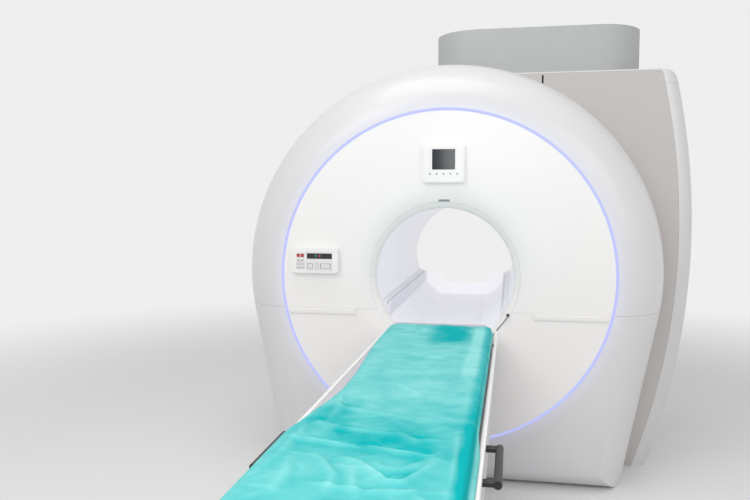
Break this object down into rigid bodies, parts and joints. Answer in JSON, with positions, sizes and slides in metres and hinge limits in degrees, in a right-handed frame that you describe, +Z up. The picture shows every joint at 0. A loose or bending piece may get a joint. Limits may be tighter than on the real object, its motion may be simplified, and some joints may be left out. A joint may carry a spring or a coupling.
{
  "type": "mri scanner",
  "caption": "Closed-bore magnetic resonance scanner with a lit ring round its mouth, a fixed patient table that lifts and a tabletop that slides into the bore.",
  "frame": {"origin": "floor point straight below the isocentre, the middle of the magnet", "axes": "+Z up, +Y along the bore from the patient table to the back, +X to the right as seen from the table"},
  "size_m": [2.3919, 4.14, 2.4587],
  "materials": {
    "cover_white": "smooth moulded cover",
    "cover_grey": "satin grey cover",
    "fascia_taupe": "glossy taupe panel",
    "roof_grey": "matt grey-green",
    "light_guide": "lit translucent ring",
    "liner_white": "pale liner",
    "vessel_steel": "painted steel",
    "frame_steel": "dark painted steel",
    "coil_resin": "potted resin",
    "coil_copper": "copper on a former",
    "aluminium": "machined",
    "cooler_steel": "brushed steel",
    "screen_black": "dark display",
    "window_dark": "dark window",
    "key_red": "red key",
    "key_grey": "grey key",
    "lamp_green": "status lamps",
    "rubber_black": "black rubber",
    "cable_dark": "cable jacket",
    "table_white": "white tabletop",
    "table_grey": "grey table cover",
    "plinth_dark": "dark plinth",
    "grip_black": "black grip",
    "pad_grey": "vinyl covered foam",
    "sheet_turquoise": "turquoise cotton"
  },
  "bodies": {
    "gantry": {"base_frame": "frame_steel", "magnet_vessel": "vessel_steel", "gradient_coil": "coil_resin", "body_coil": "coil_copper", "bore_liner": "liner_white", "flare_upper": "cover_white", "flare_lower": "cover_white", "rear_flare": "cover_white", "bore_bridge": "liner_white", "bore_ledge_left": "liner_white", "bore_ledge_right": "liner_white", "rear_sill": "liner_white", "cover_frame": "aluminium", "light_channel": "aluminium", "light_ring": "light_guide", "disc_upper": "cover_white", "disc_lower": "cover_white", "ring_upper": "cover_grey", "ring_lower_left": "cover_grey", "ring_lower_right": "cover_grey", "flank_left": "cover_grey", "flank_right": "cover_grey", "fascia": "fascia_taupe", "roof_deck": "cover_grey", "rear_cover": "cover_grey", "roof_cover": "roof_grey", "magnet_turret": "vessel_steel", "cold_head": "cooler_steel", "laser_window": "window_dark", "panel_housing": "cover_white", "panel_display": "screen_black", "panel_labels": "key_grey", "status_housing": "cover_white", "status_screen": "screen_black", "status_lamps": "lamp_green", "lead_grommets": "rubber_black", "signal_lead": "cable_dark", "table_base": "table_grey", "column_outer": "aluminium"},
    "shroud_mid": {"shroud_mid": "table_grey", "column_mid": "aluminium"},
    "carrier": {"shroud_upper": "table_grey", "column_inner": "aluminium", "carrier_plinth": "plinth_dark", "carrier_body": "table_grey", "carrier_deck": "aluminium", "side_rail_left": "table_white", "side_rail_right": "table_white", "side_grip_left": "grip_black", "side_grip_right": "grip_black", "drive_motor": "frame_steel", "drive_beam": "aluminium"},
    "tabletop": {"tabletop": "table_white", "drive_dog": "frame_steel", "mattress": "pad_grey", "cover_sheet": "sheet_turquoise"},
    "key_stop": {"key_stop": "key_red"},
    "key_home": {"key_home": "key_grey"},
    "key_light": {"key_light": "key_grey"},
    "key_fan": {"key_fan": "key_grey"}
  },
  "joints": [
    {"name": "table_lift", "type": "slide", "parent": "gantry", "child": "carrier", "axis": [0, 0, 1], "range_m": [-0.32, 0]},
    {"name": "shroud_lift", "type": "slide", "parent": "gantry", "child": "shroud_mid", "axis": [0, 0, 1], "range_m": [-0.16, 0]},
    {"name": "tabletop_slide", "type": "slide", "parent": "carrier", "child": "tabletop", "axis": [0, 1, 0], "range_m": [0, 1.74]},
    {"name": "key_stop_press", "type": "slide", "parent": "gantry", "child": "key_stop", "axis": [0, 1, 0], "range_m": [0, 0.0015], "stiffness_N_per_m": 1500},
    {"name": "key_home_press", "type": "slide", "parent": "gantry", "child": "key_home", "axis": [0, 1, 0], "range_m": [0, 0.0015], "stiffness_N_per_m": 1500},
    {"name": "key_light_press", "type": "slide", "parent": "gantry", "child": "key_light", "axis": [0, 1, 0], "range_m": [0, 0.0015], "stiffness_N_per_m": 1500},
    {"name": "key_fan_press", "type": "slide", "parent": "gantry", "child": "key_fan", "axis": [0, 1, 0], "range_m": [0, 0.0015], "stiffness_N_per_m": 1500}
  ],
  "couplings": [
    {"joint": "shroud_lift", "follows": "table_lift", "ratio": 0.5}
  ]
}
